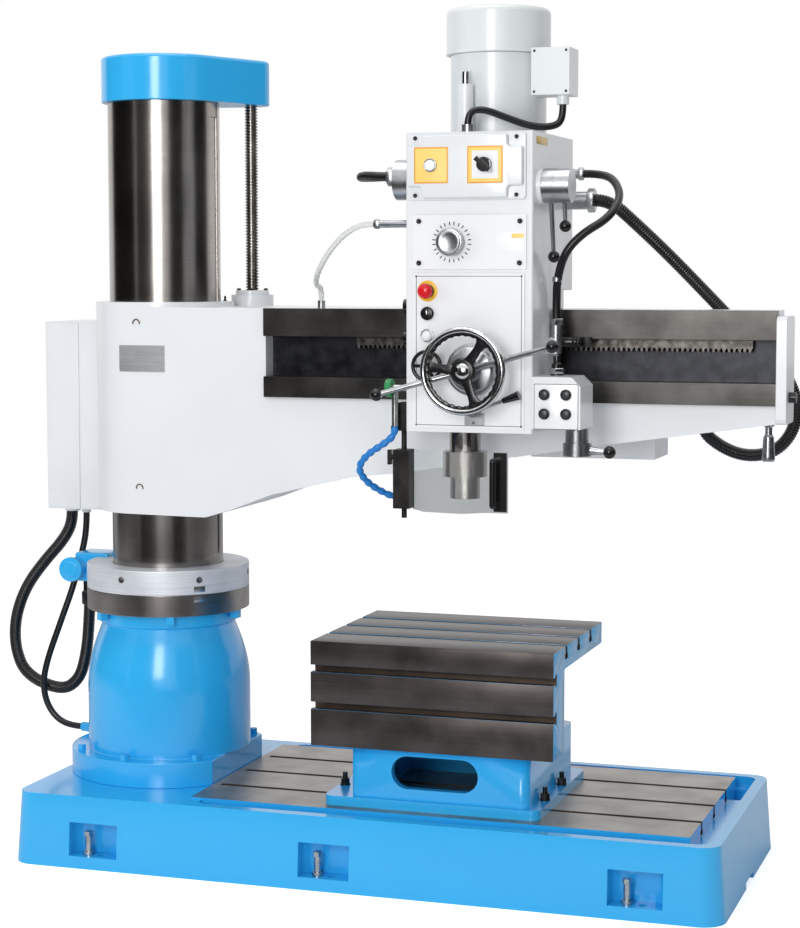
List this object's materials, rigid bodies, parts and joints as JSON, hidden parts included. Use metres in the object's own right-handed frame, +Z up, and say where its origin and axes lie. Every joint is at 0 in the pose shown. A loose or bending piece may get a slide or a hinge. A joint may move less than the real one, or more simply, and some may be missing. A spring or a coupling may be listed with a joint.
{
  "type": "radial drilling machine",
  "caption": "Radial drilling machine: base with T-slots and box table, round column, arm that swings and lifts, drill head that slides along the arm.",
  "frame": {"origin": "on the floor, at the foot of the column's axis", "axes": "+X along the base and the arm, away from the column; -Y is the operator's side; +Z up"},
  "size_m": [2.2895, 0.995, 2.184],
  "materials": {
    "blue_paint": "semi-gloss enamel",
    "white_paint": "semi-gloss enamel",
    "machined_bed": "machined",
    "machined_table": "machined",
    "dark_ring": "turned",
    "grey_ring": "satin",
    "ground_steel": "ground",
    "screw_steel": "oiled",
    "bronze": "turned",
    "zinc": "plated",
    "chrome": "polished",
    "black_plastic": "moulded",
    "control_plastic": "moulded",
    "panel_face": "satin",
    "motor_paint": "enamel",
    "clear_plastic": "clear sheet",
    "grey_plastic": "moulded",
    "hose_black": "ribbed",
    "hose_blue": "segmented",
    "tube_clear": "translucent"
  },
  "bodies": {
    "base": {"base_casting": "blue_paint", "levelling_screws": "zinc", "column_pedestal": "blue_paint", "pedestal_fittings": "blue_paint", "lower_clamp_ring": "dark_ring", "column_clamp_unit": "blue_paint", "box_table": "machined_table", "table_bolts": "screw_steel", "supply_lead_lower": "hose_black", "clamp_hose_lower": "hose_black"},
    "column": {"column": "ground_steel", "upper_clamp_ring": "grey_ring", "column_cap": "blue_paint", "elevating_screw": "screw_steel", "supply_lead_upper": "hose_black", "clamp_hose_upper": "hose_black"},
    "arm": {"arm_casting": "white_paint", "elevating_nut": "bronze", "upper_way": "ground_steel", "lower_way": "ground_steel", "gear_rack": "screw_steel", "arm_end_plate": "white_paint", "arm_end_fittings": "zinc", "electrical_cabinet": "white_paint", "arm_junction_box": "white_paint", "head_conduit": "hose_black", "feed_tube": "tube_clear"},
    "head": {"saddle": "white_paint", "head_housing": "white_paint", "control_box": "white_paint", "control_buttons": "control_plastic", "front_panels": "panel_face", "motor": "motor_paint", "motor_cowl": "motor_paint", "motor_terminal_box": "black_plastic", "spindle_cover": "white_paint", "button_box": "white_paint", "feed_hub": "zinc", "guard_post": "zinc", "coolant_valve": "zinc", "coolant_hose": "hose_blue", "way_clamp_knobs": "black_plastic", "head_fittings": "zinc", "vent_hose": "hose_black", "motor_lead": "hose_black", "side_hose": "hose_black"},
    "quill": {"quill": "ground_steel"},
    "spindle": {"spindle": "ground_steel"},
    "handwheel": {"handwheel": "chrome"},
    "feed_levers": {"feed_levers": "chrome"},
    "fine_feed_wheel": {"fine_feed_wheel": "black_plastic"},
    "trip_lever": {"trip_lever": "black_plastic"},
    "gear_lever_long": {"gear_lever_long": "chrome"},
    "gear_lever_short": {"gear_lever_short": "chrome"},
    "start_lever": {"start_lever": "chrome"},
    "selector_switch": {"selector_switch": "black_plastic"},
    "speed_dial": {"speed_dial": "zinc"},
    "guard": {"guard_shield": "clear_plastic", "guard_handle": "grey_plastic"}
  },
  "joints": [
    {"name": "column_swing", "type": "hinge", "parent": "base", "child": "column", "pos_m": [0, 0, 0.7], "axis": [0, 0, 1], "range_deg": [-90, 90], "deforming": ["supply_lead_lower", "clamp_hose_lower"]},
    {"name": "arm_lift", "type": "slide", "parent": "column", "child": "arm", "axis": [0, 0, 1], "range_m": [-0.08, 0.46], "deforming": ["supply_lead_upper", "clamp_hose_upper"]},
    {"name": "head_traverse", "type": "slide", "parent": "arm", "child": "head", "axis": [1, 0, 0], "range_m": [-0.385, 0.442], "deforming": ["head_conduit", "feed_tube"]},
    {"name": "quill_feed", "type": "slide", "parent": "head", "child": "quill", "axis": [0, 0, -1], "range_m": [0, 0.25]},
    {"name": "spindle_turn", "type": "hinge", "parent": "quill", "child": "spindle", "pos_m": [0.958, -0.37, 1.03], "axis": [0, 0, 1], "continuous": true},
    {"name": "handwheel_turn", "type": "hinge", "parent": "head", "child": "handwheel", "pos_m": [1.012, -0.575, 1.3195], "axis": [0, 1, 0], "range_deg": [-1170, 1340]},
    {"name": "feed_lever_turn", "type": "hinge", "parent": "head", "child": "feed_levers", "pos_m": [1.012, -0.54, 1.3195], "axis": [0, 1, 0], "range_deg": [-605, 5]},
    {"name": "fine_feed_turn", "type": "hinge", "parent": "head", "child": "fine_feed_wheel", "pos_m": [0.908, -0.522, 1.328], "axis": [0, 1, 0], "continuous": true},
    {"name": "trip_lever_turn", "type": "hinge", "parent": "head", "child": "trip_lever", "pos_m": [1.021, -0.515, 1.222], "axis": [0, 1, 0], "range_deg": [-15, 20]},
    {"name": "gear_lever_long_turn", "type": "hinge", "parent": "head", "child": "gear_lever_long", "pos_m": [1.183, -0.43, 1.75], "axis": [1, 0, 0], "range_deg": [-45, 5]},
    {"name": "gear_lever_short_turn", "type": "hinge", "parent": "head", "child": "gear_lever_short", "pos_m": [1.216, -0.43, 1.75], "axis": [1, 0, 0], "range_deg": [-30, 30]},
    {"name": "start_lever_turn", "type": "hinge", "parent": "head", "child": "start_lever", "pos_m": [1.251, -0.43, 1.13], "axis": [0, 0, 1], "range_deg": [-30, 30]},
    {"name": "selector_turn", "type": "hinge", "parent": "head", "child": "selector_switch", "pos_m": [1.047, -0.52, 1.798], "axis": [0, 1, 0], "range_deg": [-90, 45]},
    {"name": "speed_dial_turn", "type": "hinge", "parent": "head", "child": "speed_dial", "pos_m": [0.961, -0.51, 1.619], "axis": [0, 1, 0], "continuous": true},
    {"name": "guard_swing", "type": "hinge", "parent": "head", "child": "guard", "pos_m": [0.822, -0.43, 1.05], "axis": [0, 0, 1], "range_deg": [-90, 0]}
  ],
  "couplings": [
    {"joint": "handwheel_turn", "follows": "head_traverse", "rad_per_m": 52.36},
    {"joint": "feed_lever_turn", "follows": "quill_feed", "rad_per_m": -41.89}
  ]
}
